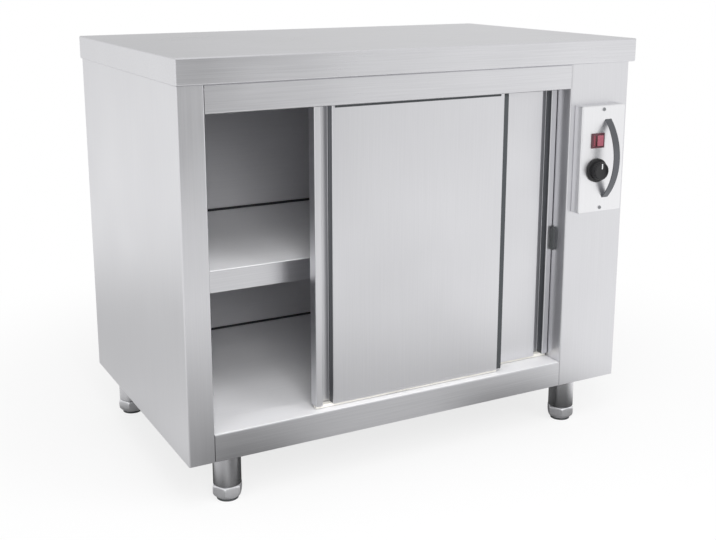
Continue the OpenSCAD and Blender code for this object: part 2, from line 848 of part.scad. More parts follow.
// Lit rocker: two faces that meet in a shallow V, tilted so that its left face lies flat
module switch_rocker() {
    half = rocker_w / 2;
    rise = half * tan(rocker_tilt);
    valley_set = 0.5;
    valley = pivot_y - panel_y + bezel_t - valley_set;
    back = 4;
    bevel = 4;
    pin_gap = 0.3;
    pin_l = pocket_h + 2 * pivot_end - 2 * pin_gap;
    color("#c01824") translate([controls_x, pivot_y, switch_mid_z]) rotate([0, 0, -rocker_tilt]) {
        translate([0, 0, -rocker_h / 2]) linear_extrude(rocker_h)
            polygon([[-half, -valley - rise], [0, -valley], [half, -valley - rise], [half, 0],
                [half - bevel, back], [bevel - half, back], [-half, 0]]);
        translate([0, 0, -pin_l / 2]) cylinder(d = pivot_d, h = pin_l);
    }
}

// Thermostat behind the panel, with the bushing that fixes it
module thermostat() {
    half = thermostat_w / 2;
    color("#b9b4a6") translate([controls_x, 0, knob_mid_z]) difference() {
        union() {
            plate(-half, half, panel_y + sheet, panel_y + sheet + thermostat_d, -half, half);
            translate([0, panel_y - bushing_l, 0]) bar_y(bushing_d, bushing_l + sheet + join);
        }
        translate([0, panel_y - bushing_l - cut, 0])
            bar_y(shaft_d + 2 * run_fit, bushing_l + sheet + thermostat_d - thermostat_floor + cut);
    }
}

// Depth of the knob's hollow skirt, which covers the bushing
knob_hollow_gap = 2;
knob_hollow_d = bushing_d + 2 * knob_hollow_gap;
knob_end_gap = 1;
knob_hollow_l = bushing_l + knob_end_gap;
knob_y1 = panel_y - move_gap;
knob_y0 = knob_y1 - knob_t;
knob_bore_l = 10;

// Steel shaft of the thermostat, which carries the knob
module thermostat_shaft() {
    shaft_y0 = knob_y1 - knob_hollow_l - knob_bore_l;
    shaft_y1 = panel_y + sheet + thermostat_d - thermostat_floor - shaft_end_gap;
    color(steel) translate([controls_x, shaft_y0, knob_mid_z]) bar_y(shaft_d, shaft_y1 - shaft_y0);
}

// Round control knob: a skirt, a grip that tapers to its face, and a raised pointer
module control_knob() {
    skirt_t = 5;
    grip_t = knob_t - skirt_t;
    pointer_w = 2;
    pointer_t = 0.8;
    skirt_step = 1.5;
    draft = 2;
    grip_d = knob_d - 2 * skirt_step;
    face_d = grip_d - 2 * draft;
    color(dark_plastic) translate([controls_x, knob_y0, knob_mid_z]) difference() {
        union() {
            translate([0, grip_t, 0]) bar_y(knob_d, skirt_t);
            translate([0, pointer_t, 0]) rotate([-90, 0, 0])
                cylinder(d1 = face_d, d2 = grip_d, h = grip_t - pointer_t);
            plate(-pointer_w / 2, pointer_w / 2, 0, pointer_t + join,
                face_d / 8, face_d / 2 - pointer_w / 2);
        }
        translate([0, knob_t - knob_hollow_l, 0]) bar_y(knob_hollow_d, knob_hollow_l + cut);
        translate([0, knob_t - knob_hollow_l - knob_bore_l, 0]) bar_y(shaft_d, knob_bore_l + cut);
    }
}

// Thermostat bulb clipped to the partition, and the capillary back to the thermostat
module thermostat_bulb() {
    clip_w = 12;
    clip_t = 1;
    bulb_x = cavity_x1 - bulb_d / 2;
    bend_gap = 8;
    turn_x = duct_x + bend_gap;
    turn_y = panel_y + sheet + thermostat_d + bend_gap;
    end_z = knob_mid_z + thermostat_w / 4;
    end_x = controls_x + thermostat_w / 4;
    color("#b87333") {
        translate([bulb_x, bulb_y, bulb_z]) bar_y(bulb_d, bulb_l);
        for (share = [0.3, 0.8])
            plate(cavity_x1 - bulb_d - clip_t, cavity_x1, bulb_y + share * bulb_l,
                bulb_y + share * bulb_l + clip_w,
                bulb_z - bulb_d / 2 - clip_t, bulb_z + bulb_d / 2 + clip_t);
        translate([bulb_x, bulb_y, bulb_z]) sphere(d = bulb_d);
        translate([bulb_x, bulb_y, bulb_z]) bar_x(capillary_d, turn_x - bulb_x);
        translate([turn_x, bulb_y, bulb_z]) sphere(d = capillary_d);
        translate([turn_x, turn_y, bulb_z]) bar_y(capillary_d, bulb_y - turn_y);
        translate([turn_x, turn_y, bulb_z]) sphere(d = capillary_d);
        translate([turn_x, turn_y, end_z]) cylinder(d = capillary_d, h = bulb_z - end_z);
        translate([turn_x, turn_y, end_z]) sphere(d = capillary_d);
        translate([turn_x, turn_y, end_z]) bar_x(capillary_d, end_x - turn_x);
        translate([end_x, turn_y, end_z]) sphere(d = capillary_d);
        translate([end_x, panel_y + sheet + thermostat_d, end_z])
            bar_y(capillary_d, turn_y - panel_y - sheet - thermostat_d);
    }
}

// Places of the heating element's two terminals, above the fan's axis
module at_terminals() {
    for (side = [-1, 1])
        translate([0, fan_y + side * terminal_gap / 2, fan_mid_z + ring_d / 2]) children();
}

// Fan housing: a pan fixed to the partition, with holes for the shaft and the terminals
module fan_housing() {
    half = housing_w / 2;
    shaft_room = 3;
    motor_hole_d = fan_shaft_d + 2 * shaft_room;
    color(steel) difference() {
        plate(duct_x, housing_x1, fan_y - half, fan_y + half, fan_mid_z - half, fan_mid_z + half);
        plate(duct_x - 1, housing_x1 - sheet, fan_y - half + sheet, fan_y + half - sheet,
            fan_mid_z - half + sheet, fan_mid_z + half - sheet);
        translate([housing_x1 - sheet - 1, fan_y, fan_mid_z]) bar_x(motor_hole_d, sheet + 2);
        translate([housing_x1 - sheet - 1, 0, 0]) at_terminals() bar_x(element_d + 2 * run_fit, sheet + 2);
    }
}

// Fan motor on the outside of the housing, bored for the shaft
module fan_motor() {
    flange_w = 7;
    flange_d = motor_d + 2 * flange_w;
    flange_t = 3;
    color("#6f7276") translate([housing_x1, fan_y, fan_mid_z]) difference() {
        union() {
            bar_x(flange_d, flange_t);
            bar_x(motor_d, motor_l);
        }
        translate([-1, 0, 0]) bar_x(fan_shaft_d + 2 * run_fit, motor_l - motor_floor + 1);
    }
}

// Fan wheel: a back disc with straight blades, a hub and its shaft
module fan_wheel() {
    blades = 8;
    blade_t = 2;
    shaft_l = housing_x1 - wheel_x0 + motor_l - motor_floor - fan_shaft_gap;
    color("#a9adb2") translate([wheel_x0, fan_y, fan_mid_z]) {
        translate([fan_blade_w, 0, 0]) bar_x(fan_d, disc_t);
        bar_x(hub_d, fan_blade_w + disc_t);
        bar_x(fan_shaft_d, shaft_l);
        for (i = [0 : blades - 1])
            rotate([i * 360 / blades, 0, 0])
                plate(0, fan_blade_w + disc_t, hub_d / 2 - 1, fan_d / 2 - 1, -blade_t / 2, blade_t / 2);
    }
}

// Ring heating element round the fan wheel, with its two terminals through the housing
module heating_element() {
    half_angle = asin(terminal_gap / ring_d);
    terminal_r = ring_d / 2;
    drop = terminal_r * (1 - cos(half_angle));
    color("#5a4a42") {
        translate([element_x, fan_y, fan_mid_z]) rotate([90 + half_angle, 0, 0]) rotate([0, 90, 0])
            rotate_extrude(angle = 360 - 2 * half_angle) translate([terminal_r, 0]) circle(d = element_d);
        translate([element_x, 0, 0]) at_terminals() {
            translate([0, 0, -drop]) sphere(d = element_d);
            bar_x(element_d, housing_x1 - element_x + terminal_l);
        }
    }
}

// Three-way terminal block on the base
module terminal_block() {
    block_w = 44;
    block_d = 24;
    block_h = 22;
    ways = 3;
    way_pitch = 13;
    way_d = 6;
    block_set = 70;
    color("#e9e4d4") translate([service_x, service_y - block_set, inside_z0]) difference() {
        plate(-block_w / 2, block_w / 2, -block_d / 2, block_d / 2, 0, block_h);
        for (i = [0 : ways - 1])
            translate([(i - (ways - 1) / 2) * way_pitch, 0, block_h / 2]) cylinder(d = way_d, h = block_h);
    }
}

// Cord gland through the base: a hexagonal body below, a lock nut above, and the cord's way through
module cable_gland() {
    hex_wall = 4;
    hex_d = gland_d + 2 * hex_wall;
    body_l = 18;
    nut_l = 6;
    thread_end = 2;
    thread_l = sheet + nut_l + thread_end;
    color(dark_plastic) at_gland() difference() {
        union() {
            translate([0, 0, -body_l]) cylinder(d = hex_d, h = body_l, $fn = 6);
            cylinder(d = gland_d, h = thread_l);
            translate([0, 0, sheet]) cylinder(d = hex_d, h = nut_l, $fn = 6);
        }
        translate([0, 0, -body_l - 1]) cylinder(d = gland_bore_d, h = body_l + thread_l + 2);
    }
}

worktop();
worktop_stiffeners();
left_side_panel();
right_side_panel();
control_pillar();
back_panel();
top_front_rail();
bottom_front_rail();
base_panel();
left_liner();
back_liner();
ceiling_liner();
cavity_floor();
partition_wall();
wall_insulation();
shelf();
shelf_brackets();
door_track();
door_guide();
door_buffers();
door_front(-1);  // left_door_front
door_back(-1);  // left_door_back
door_insulation(-1);  // left_door_insulation
door_hangers(-1);  // left_door_hangers
door_roller(-1, 0);  // left_door_roller_a
door_roller(-1, 1);  // left_door_roller_b
door_runner(-1);  // left_door_runner
door_front(1);  // right_door_front
door_back(1);  // right_door_back
door_insulation(1);  // right_door_insulation
door_hangers(1);  // right_door_hangers
door_roller(1, 0);  // right_door_roller_a
door_roller(1, 1);  // right_door_roller_b
door_runner(1);  // right_door_runner
leg_tubes();
leg_plugs();
foot(-1, -1);  // foot_front_left
foot(1, -1);  // foot_front_right
foot(-1, 1);  // foot_rear_left
foot(1, 1);  // foot_rear_right
pad(-1, -1);  // pad_front_left
pad(1, -1);  // pad_front_right
pad(-1, 1);  // pad_rear_left
pad(1, 1);  // pad_rear_right
control_box();
control_screws();
guard_strip();
switch_housing();
switch_rocker();
thermostat();
thermostat_shaft();
control_knob();
thermostat_bulb();
fan_housing();
fan_motor();
fan_wheel();
heating_element();
terminal_block();
cable_gland();
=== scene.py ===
import math

import bmesh
import bpy
import numpy as np
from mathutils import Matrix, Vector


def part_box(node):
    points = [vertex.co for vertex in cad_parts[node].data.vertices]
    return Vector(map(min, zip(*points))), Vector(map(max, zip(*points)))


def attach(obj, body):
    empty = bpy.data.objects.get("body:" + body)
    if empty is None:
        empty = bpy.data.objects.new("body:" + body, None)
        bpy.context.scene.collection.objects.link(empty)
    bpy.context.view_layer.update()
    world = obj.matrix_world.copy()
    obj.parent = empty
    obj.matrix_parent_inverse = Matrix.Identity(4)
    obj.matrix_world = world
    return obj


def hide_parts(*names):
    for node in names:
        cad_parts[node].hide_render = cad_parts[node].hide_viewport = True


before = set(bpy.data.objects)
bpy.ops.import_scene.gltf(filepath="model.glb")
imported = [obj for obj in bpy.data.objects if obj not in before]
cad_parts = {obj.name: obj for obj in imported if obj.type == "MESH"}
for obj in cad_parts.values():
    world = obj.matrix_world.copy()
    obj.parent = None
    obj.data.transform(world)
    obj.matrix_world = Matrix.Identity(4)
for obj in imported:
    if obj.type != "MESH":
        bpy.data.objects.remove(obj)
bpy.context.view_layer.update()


# Worktop: one sheet of 1.5 mm stainless steel, folded down along its four edges and in again as a lip.
# The corners are welded and dressed back, so that every edge has a small even radius.
# The sheet is brushed along its length, and it drops over the body from above.
def linear_colour(code):
    """Hex code to linear red, green, blue and alpha: the sRGB curve undone channel by channel."""
    srgb = np.array([int(code[i:i + 2], 16) for i in (1, 3, 5)]) / 255
    linear = np.where(srgb <= 0.04045, srgb / 12.92, ((srgb + 0.055) / 1.055) ** 2.4)
    return (*linear.tolist(), 1.0)


def add_node(tree, kind, settings=None, links=None):
    """One shader node. Settings are properties or input values by name or number, and links join inputs."""
    node = tree.nodes.new(kind)
    for key, value in (settings or {}).items():
        if isinstance(key, str) and hasattr(node, key):
            setattr(node, key, value)
        else:
            node.inputs[key].default_value = value
    for key, socket in (links or {}).items():
        tree.links.new(node.inputs[key], socket)
    return node


def new_finish(name):
    """An empty material with its tree, its Principled shader and the Object coordinates for patterns."""
    material = bpy.data.materials.new(name)
    material.use_nodes = True
    tree = material.node_tree
    shader = tree.nodes["Principled BSDF"]
    place = tree.nodes.new("ShaderNodeTexCoord").outputs["Object"]
    return material, tree, shader, place


def brushed_stainless(name, shade, low_rough, high_rough, grain, metallic=1.0, line_tone=0.97,
                      turned_marks=0.0):
    """Stainless sheet brushed along one axis. Lines are noise stretched along the grain: 160 mm long and
    2.4 mm wide, about eight times the real belt marks so that they show. Wide soft noise gives the wiped
    patches. Marks that run round an upright axis, as on a turned tube, draw reflections out along it."""
    material, tree, shader, place = new_finish(name)
    line_w, line_l, patch = 0.0024, 0.16, 0.22
    scale = [1 / line_w] * 3
    scale["xyz".index(grain)] = 1 / line_l
    stretched = add_node(tree, "ShaderNodeMapping", {"Scale": scale}, {"Vector": place})
    lines = add_node(tree, "ShaderNodeTexNoise", {"Scale": 1.0, "Detail": 3.0, "Roughness": 0.6},
                     {"Vector": stretched.outputs["Vector"]})
    patches = add_node(tree, "ShaderNodeTexNoise", {"Scale": 1 / patch, "Detail": 2.0, "Roughness": 0.45},
                       {"Vector": place})
    both = add_node(tree, "ShaderNodeMath", {"operation": "MULTIPLY_ADD", 1: 0.45},
                    {0: lines.outputs["Fac"], 2: patches.outputs["Fac"]})
    rough = add_node(tree, "ShaderNodeMapRange",
                     {"From Min": 0.45, "From Max": 1.0, "To Min": low_rough, "To Max": high_rough},
                     {"Value": both.outputs["Value"]})
    tone = add_node(tree, "ShaderNodeMapRange", {"From Min": 0.35, "From Max": 0.65},
                    {"Value": lines.outputs["Fac"]})
    light = linear_colour(shade)
    dark = tuple(line_tone * c for c in light[:3]) + (1.0,)
    colour = add_node(tree, "ShaderNodeMix", {"data_type": "RGBA", 6: dark, 7: light},
                      {0: tone.outputs["Result"]})
    bump = add_node(tree, "ShaderNodeBump", {"Strength": 0.03, "Distance": 0.0002},
                    {"Height": lines.outputs["Fac"]})
    shader.inputs["Metallic"].default_value = metallic
    tree.links.new(shader.inputs["Base Color"], colour.outputs[2])
    tree.links.new(shader.inputs["Roughness"], rough.outputs["Result"])
    tree.links.new(shader.inputs["Normal"], bump.outputs["Normal"])
    if turned_marks:
        facing = add_node(tree, "ShaderNodeNewGeometry").outputs["Normal"]
        upright = (0.0, 0.0, 1.0)
        quarter_turn = 0.25
        round_axis = add_node(tree, "ShaderNodeVectorMath", {"operation": "CROSS_PRODUCT", 0: upright},
                              {1: facing})
        tree.links.new(shader.inputs["Tangent"], round_axis.outputs["Vector"])
        shader.inputs["Anisotropic"].default_value = turned_marks
        shader.inputs["Anisotropic Rotation"].default_value = quarter_turn
    return material


def skin(rings):
    """Closed skin over a stack of equal rings, given as an array (stations, points, 3): a band of quads
    between each ring and the next, and one flat face over each end."""
    count, points = rings.shape[:2]
    index = np.arange(count * points).reshape(count, points)
    low, high = index[:-1], index[1:]
    bands = np.stack([low, np.roll(low, -1, 1), np.roll(high, -1, 1), high], -1).reshape(-1, 4)
    return rings.reshape(-1, 3), bands.tolist() + [index[0, ::-1].tolist(), index[-1].tolist()]


def make_piece(name, shells, material, body, nodes, edge=0.0):
    """One mesh object from a list of ring stacks. Bends stay smooth, and cut edges are sharp or get a small
    bevel."""
    points, faces = [], []
    for rings in shells:
        start = sum(len(p) for p in points)
        part_points, part_faces = skin(np.asarray(rings, float))
        points.append(part_points)
        faces += [[start + i for i in face] for face in part_faces]
    mesh = bpy.data.meshes.new(name)
    mesh.from_pydata(np.concatenate(points).tolist(), [], faces)
    work = bmesh.new()
    work.from_mesh(mesh)
    bmesh.ops.recalc_face_normals(work, faces=work.faces)
    work.to_mesh(mesh)
    work.free()
    mesh.polygons.foreach_set("use_smooth", np.ones(len(mesh.polygons), bool))
    mesh.set_sharp_from_angle(angle=math.radians(40))
    mesh.materials.append(material)
    piece = bpy.data.objects.new(name, mesh)
    bpy.context.scene.collection.objects.link(piece)
    if edge:
        bevel = piece.modifiers.new("dressed_edges", "BEVEL")
        bevel.width, bevel.segments, bevel.limit_method = edge, 2, "ANGLE"
        bevel.angle_limit = math.radians(50)
        bevel.harden_normals = False
    flat = piece.modifiers.new("flat_faces", "WEIGHTED_NORMAL")
    flat.keep_sharp = True
    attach(piece, body)
    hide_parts(*nodes)
    return piece


def arc(centre, radius, start, end, steps=6):
    """Points of a circular arc in a plane, from one angle to another in degrees, both ends included."""
    turn = np.radians(np.linspace(start, end, steps))
    return np.stack([centre[0] + radius * np.cos(turn), centre[1] + radius * np.sin(turn)], -1)


def rounded_rectangle(half_u, half_v, corner, steps=5):
    """Closed outline of a rectangle about the origin whose corners are quarter circles."""
    u, v = half_u - corner, half_v - corner
    centres = [(u, v), (-u, v), (-u, -v), (u, -v)]
    return np.concatenate([arc(c, corner, 90 * i, 90 * i + 90, steps) for i, c in enumerate(centres)])


def tray_rings(half_u, half_v, corner, profile):
    """Rings of a folded tray: for each (inset, height) of the profile, the plan outline moved in by the
    inset."""
    least = 0.0002
    rings = []
    for inset, height in profile:
        plan = rounded_rectangle(half_u - inset, half_v - inset, max(corner - inset, least))
        rings.append(np.column_stack([plan, np.full(len(plan), height)]))
    return np.stack(rings)


def tray_profile(depth, lip, sheet, bend):
    """Wall line of a tray as (inset, height): over the outer edge, down the wall, round the lip and back
    inside."""
    inner = bend - sheet
    outside = [arc((bend, depth - bend), bend, 90, 180), arc((bend, bend), bend, 180, 270), [(lip, 0.0)]]
    inside = [[(lip, sheet)], arc((bend, bend), inner, 270, 180), arc((bend, depth - bend), inner, 180, 90)]
    return np.concatenate(outside + inside)


sheet_t = 0.0015
top_low, top_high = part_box("worktop")
top_bend, top_lip = 0.0032, 0.030
# Belt-brushed stainless: pale and soft, with fine lines along the sheet that blur what it reflects.
outer_long_grain = brushed_stainless("brushed_stainless_along", "#e2e2e5", 0.26, 0.38, "x", line_tone=0.93)
top_rings = tray_rings((top_high.x - top_low.x) / 2, (top_high.y - top_low.y) / 2, top_bend,
                       tray_profile(top_high.z - top_low.z, top_lip, sheet_t, top_bend))
top_middle = ((top_low.x + top_high.x) / 2, (top_low.y + top_high.y) / 2, top_low.z)
make_piece("worktop_sheet", [top_rings + top_middle], outer_long_grain, "cabinet", ["worktop"])


# Left side and its front pillar: one sheet folded round the front corner and in again as the door reveal.
# Brushed upright. The bends are about twice the sheet's thickness and catch the light as thin bright lines.
def folded_outline(corners, thickness, bend, steps=6):
    """Outline of a bent sheet: its middle line with each corner turned into an arc, moved half the thickness
    to either side. At a corner the arc starts bend * tan(turn / 2) before it and swings about the bend's
    centre."""
    corners = np.asarray(corners, float)
    ways = np.diff(corners, axis=0)
    ways /= np.linalg.norm(ways, axis=1, keepdims=True)
    left = np.stack([-ways[:, 1], ways[:, 0]], -1)
    line, normal = [corners[:1]], [left[:1]]
    for point, a, b, side in zip(corners[1:-1], ways[:-1], ways[1:], left[:-1]):
        turn = math.atan2(a[0] * b[1] - a[1] * b[0], a @ b)
        sign = math.copysign(1, turn)
        centre = point - a * bend * math.tan(abs(turn) / 2) + sign * bend * side
        swing = np.linspace(0, turn, steps)
        spun = np.stack([side[0] * np.cos(swing) - side[1] * np.sin(swing),
                         side[0] * np.sin(swing) + side[1] * np.cos(swing)], -1)
        line.append(centre - sign * bend * spun)
        normal.append(spun)
    line = np.concatenate(line + [corners[-1:]])
    normal = np.concatenate(normal + [left[-1:]])
    return np.concatenate([line + normal * thickness / 2, (line - normal * thickness / 2)[::-1]])


def carried(outline, axis, stations):
    """Rings of an outline carried straight along an axis. The outline's two numbers are the other axes."""
    rings = []
    for place in stations:
        columns = [outline[:, 0], outline[:, 1]]
        columns.insert("xyz".index(axis), np.full(len(outline), place))
        rings.append(np.stack(columns, -1))
    return np.stack(rings)


# The same steel brushed upright: its reflections are drawn into faint upright streaks.
outer_upright_grain = brushed_stainless("brushed_stainless_upright", "#e2e2e5", 0.28, 0.40, "z")
sheet_bend = 0.0022
seam, cut_edge = 0.0003, 0.0003
half_t = sheet_t / 2
left_low, left_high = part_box("left_side_panel")
rail_low, rail_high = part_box("bottom_front_rail")
front_y, reveal_y = rail_low.y, rail_high.y
left_fold = folded_outline([(left_low.x + half_t, left_high.y), (left_low.x + half_t, front_y + half_t),
                            (left_high.x - half_t, front_y + half_t), (left_high.x - half_t, reveal_y)],
                           sheet_t, sheet_bend)
make_piece("left_side_sheet", [carried(left_fold, "z", (left_low.z, left_high.z))], outer_upright_grain,
           "cabinet", ["left_side_panel"], edge=cut_edge)


# Right side: a flat brushed sheet, let in behind the control pillar's edge. The back panel is the same sheet
# with a block of air slots, and the base panel closes the body below. These keep their solids' shapes.
def finish_nodes(material, *names):
    """Gives one material to CAD nodes that are shown as they are."""
    for name in names:
        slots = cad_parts[name].material_slots
        if not slots:
            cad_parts[name].data.materials.append(material)
        for slot in slots:
            slot.material = material


finish_nodes(outer_upright_grain, "right_side_panel", "back_panel")
finish_nodes(outer_long_grain, "base_panel", "worktop_stiffeners")


# Control pillar: a wide front sheet folded back along the opening as the right-hand reveal.
# It carries the control box, which covers the cut-out for the switch and thermostat.
pillar_low, pillar_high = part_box("control_pillar")
pillar_fold = folded_outline([(pillar_high.x, front_y + half_t), (pillar_low.x + half_t, front_y + half_t),
                              (pillar_low.x + half_t, reveal_y)], sheet_t, sheet_bend)
make_piece("control_pillar_sheet", [carried(pillar_fold, "z", (pillar_low.z, pillar_high.z))],
           outer_upright_grain, "cabinet", ["control_pillar"], edge=cut_edge)


# Top and bottom front rails: folded channels butted between the pillars with a hairline seam at each end.
# The top one has a lip under it and a return along its top; the bottom one folds back into the sill.
crown_low, crown_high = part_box("top_front_rail")
crown_lip = 0.009
crown_foot, crown_head = crown_low.z + half_t, crown_high.z - half_t
crown_fold = folded_outline([(front_y + crown_lip, crown_foot), (front_y + half_t, crown_foot),
                             (front_y + half_t, crown_head), (crown_high.y, crown_head)], sheet_t, sheet_bend)
make_piece("top_rail_sheet", [carried(crown_fold, "x", (crown_low.x + seam, crown_high.x - seam))],
           outer_long_grain, "cabinet", ["top_front_rail"], edge=cut_edge)
sill_z = rail_high.z - half_t
sill_fold = folded_outline([(front_y + half_t, rail_low.z), (front_y + half_t, sill_z),
                            (reveal_y - half_t, sill_z), (reveal_y - half_t, rail_low.z + sheet_t)],
                           sheet_t, sheet_bend)
sill = make_piece("bottom_rail_sheet", [carried(sill_fold, "x", (rail_low.x + seam, rail_high.x - seam))],
                  outer_long_grain, "cabinet", ["bottom_front_rail"], edge=cut_edge)


# Cavity linings: plain stainless sheet, set in before the front frame closes. Its dull mill finish scatters
# the lamps' light, the decks more than the walls, so both are drawn only partly as metal and look soft and
# grey. The walls are drawn a darker grey than the decks: painted shade at the back of the cavity. The
# partition on the right has rows of slots for the fan's air.
lining = brushed_stainless("mill_finish_stainless", "#e6e6e8", 0.40, 0.50, "x", 0.09)
# Painted shade: the walls' copy of the lining is darker than the decks'.
wall_lining_painted_shade = brushed_stainless("wall_lining_painted_shade_stainless", "#d8d8db", 0.36, 0.46, "x", 0.24)
finish_nodes(wall_lining_painted_shade, "left_liner", "back_liner", "ceiling_liner", "partition_wall")
finish_nodes(lining, "shelf_brackets")


def second_finish(piece, material, chosen):
    """Gives a second material to the faces that a test picks by their middle and their direction."""
    piece.data.materials.append(material)
    for face in piece.data.polygons:
        if chosen(face.center, face.normal):
            face.material_index = 1


mostly = 0.8
second_finish(sill, lining, lambda place, way: way.z > mostly)


# Shelf and cavity floor: mill-finish sheets folded down along the front and back, laid loose on brackets or
# on the base. The shelf's front edge is brushed like the outside.
def folded_deck(node):
    """Rings of a deck folded down at front and back, from its node's box."""
    low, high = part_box(node)
    front, back, deck = low.y + half_t, high.y - half_t, high.z - half_t
    fold = folded_outline([(front, low.z), (front, deck), (back, deck), (back, low.z)], sheet_t, sheet_bend)
    return carried(fold, "x", (low.x, high.x))


shelf = make_piece("shelf_sheet", [folded_deck("shelf")], lining, "cabinet", ["shelf"],
                   edge=cut_edge)
second_finish(shelf, outer_long_grain, lambda place, way: way.y < -mostly)
make_piece("floor_sheet", [folded_deck("cavity_floor")], lining, "cabinet", ["cavity_floor"],
           edge=cut_edge)


# Doors: a front skin of 1 mm sheet, folded into a lip and a full-height finger channel at the closing edge,
# round into end returns, and closed above and below. A back skin is let in behind, over insulation.
def door_shells(node, way):
    """The skin's fold in plan, from the closing edge inwards, carried up the door, and a flat end plate above
    and below. Way is 1 where the closing edge is at the low end of X and -1 at the high end."""
    low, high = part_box(node)
    skin_t, lip, channel_w, channel_d, bend = 0.001, 0.015, 0.023, 0.020, 0.0018
    half = skin_t / 2
    depth, width = high.y - low.y, high.x - low.x
    across = np.array([half, half, lip - half, lip - half, lip + channel_w + half, lip + channel_w + half,
                       width - half, width - half])
    back = np.array([depth, half, half, channel_d - half, channel_d - half, half, half, depth])
    edge_x = low.x if way > 0 else high.x
    fold = folded_outline(np.column_stack([edge_x + way * across, low.y + back]), skin_t, bend)
    plate = fold[len(fold) // 2:] if way > 0 else fold[:len(fold) // 2]
    plates = [carried(plate, "z", ends) for ends in ((low.z, low.z + skin_t), (high.z - skin_t, high.z))]
    return [carried(fold, "z", (low.z + skin_t, high.z - skin_t))] + plates


def paint_cheek_shade(piece, node, material):
    """Gives the channel's two cheeks a second material, a darker grey that is painted shade: faces that look
    along X between the ends of the door and lie behind its face."""
    low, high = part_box(node)
    margin = 0.002
    second_finish(piece, material, lambda place, way: abs(way.x) > mostly and place.y > low.y + margin
                  and low.x + margin < place.x < high.x - margin)


# Painted shade: the cheeks are drawn a dark dull grey, so that the channel looks deep.
cheek_painted_shade = brushed_stainless("cheek_painted_shade_stainless", "#74767a", 0.34, 0.44, "z")
door_edge = 0.0002
for side, way in (("left", 1), ("right", -1)):
    front = f"{side}_door_front"
    door_skin = make_piece(f"{side}_door_skin", door_shells(front, way), outer_upright_grain, f"{side}_door",
                           [front], edge=door_edge)
    paint_cheek_shade(door_skin, front, cheek_painted_shade)
finish_nodes(lining, "left_door_back", "right_door_back")


# Door running gear: a steel twin track under the ceiling, hangers with axles, and a short guide on the sill.
# Nylon rollers and runners ride on them, and rubber buffers on the reveals stop the doors.
finish_nodes(outer_long_grain, "door_track", "door_guide", "left_door_hangers", "right_door_hangers")


def mottled(name, shade, dark_share, spot, roughness, bump_depth=0.0, metallic=0.0):
    """A solid finish with soft mottling: noise of the given spot size in metres mixes the shade with a darker
    one and, where asked, raises a fine moulded or cast texture."""
    material, tree, shader, place = new_finish(name)
    noise = add_node(tree, "ShaderNodeTexNoise", {"Scale": 1 / spot, "Detail": 4.0, "Roughness": 0.55},
                     {"Vector": place})
    light = linear_colour(shade)
    dark = tuple(dark_share * c for c in light[:3]) + (1.0,)
    colour = add_node(tree, "ShaderNodeMix", {"data_type": "RGBA", 6: dark, 7: light},
                      {0: noise.outputs["Fac"]})
    spread = 0.06
    rough = add_node(tree, "ShaderNodeMapRange",
                     {"From Min": 0.3, "From Max": 0.7,
                      "To Min": roughness - spread, "To Max": roughness + spread},
                     {"Value": noise.outputs["Fac"]})
    tree.links.new(shader.inputs["Base Color"], colour.outputs[2])
    tree.links.new(shader.inputs["Roughness"], rough.outputs["Result"])
    shader.inputs["Metallic"].default_value = metallic
    if bump_depth:
        bump = add_node(tree, "ShaderNodeBump", {"Strength": 0.3, "Distance": bump_depth},
                        {"Height": noise.outputs["Fac"]})
        tree.links.new(shader.inputs["Normal"], bump.outputs["Normal"])
    return material


# Moulded nylon is off-white and a little waxy, and moulded rubber is dark grey, matt and slightly grainy.
nylon = mottled("moulded_nylon", "#e8e6df", 0.94, 0.002, 0.45, 0.0001)
rubber = mottled("dark_rubber", "#4a4c4e", 0.80, 0.0015, 0.62, 0.0001)
finish_nodes(nylon, *[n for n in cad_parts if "roller" in n or "runner" in n])
finish_nodes(rubber, "door_buffers", *[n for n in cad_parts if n.startswith("pad_")])


# Dark strips as painted shade: a near-black strip on each door's trailing end, where the two doors overlap,
# paints the shade beside the front door's end, and a strip along the top of the front door paints the shade
# under the top rail. Each is thin trim that rides with its door and clears the buffers.
def trailing_shade_strip_rings(node, way):
    """Rings of a plain strip with eased corners that wraps the door's trailing end and is carried up it."""
    low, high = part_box(node)
    wrap, nose, proud, depth, corner, short = 0.0065, 0.006, 0.0008, 0.013, 0.0025, 0.002
    end_x = high.x if way > 0 else low.x
    plan = rounded_rectangle((wrap + nose) / 2, (depth + proud) / 2, corner)
    plan = plan + (end_x + way * (nose - wrap) / 2, low.y + (depth - proud) / 2)
    return carried(plan, "z", (low.z + short, high.z - short))


def top_shade_strip_rings(node):
    """Rings of a flat strip on the upper end of the door's face, just behind the top rail's lip."""
    low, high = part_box(node)
    drop, height, thick, corner, inset = 0.0155, 0.0055, 0.0016, 0.0005, 0.045
    middle = (low.y - thick / 2, high.z - drop + height / 2)
    section = rounded_rectangle(thick / 2, height / 2, corner, 3) + middle
    return carried(section, "x", (low.x + inset, high.x - inset / 3))


# Near black and matt with a faint mottle, like extruded rubber: the colour of the painted shade strips.
shade_strip_edge = 0.0004
shade_strip_finish = mottled("painted_shade_strip", "#3c3f42", 0.85, 0.002, 0.55, 0.0001)
for side, way in (("left", 1), ("right", -1)):
    make_piece(f"{side}_door_painted_shade_strip", [trailing_shade_strip_rings(f"{side}_door_front", way)], shade_strip_finish, f"{side}_door", [],
               edge=shade_strip_edge)
# Painted shade under the top rail: a dark strip on the top of the front door.
make_piece("left_door_top_painted_shade", [top_shade_strip_rings("left_door_front")], shade_strip_finish, "left_door", [])


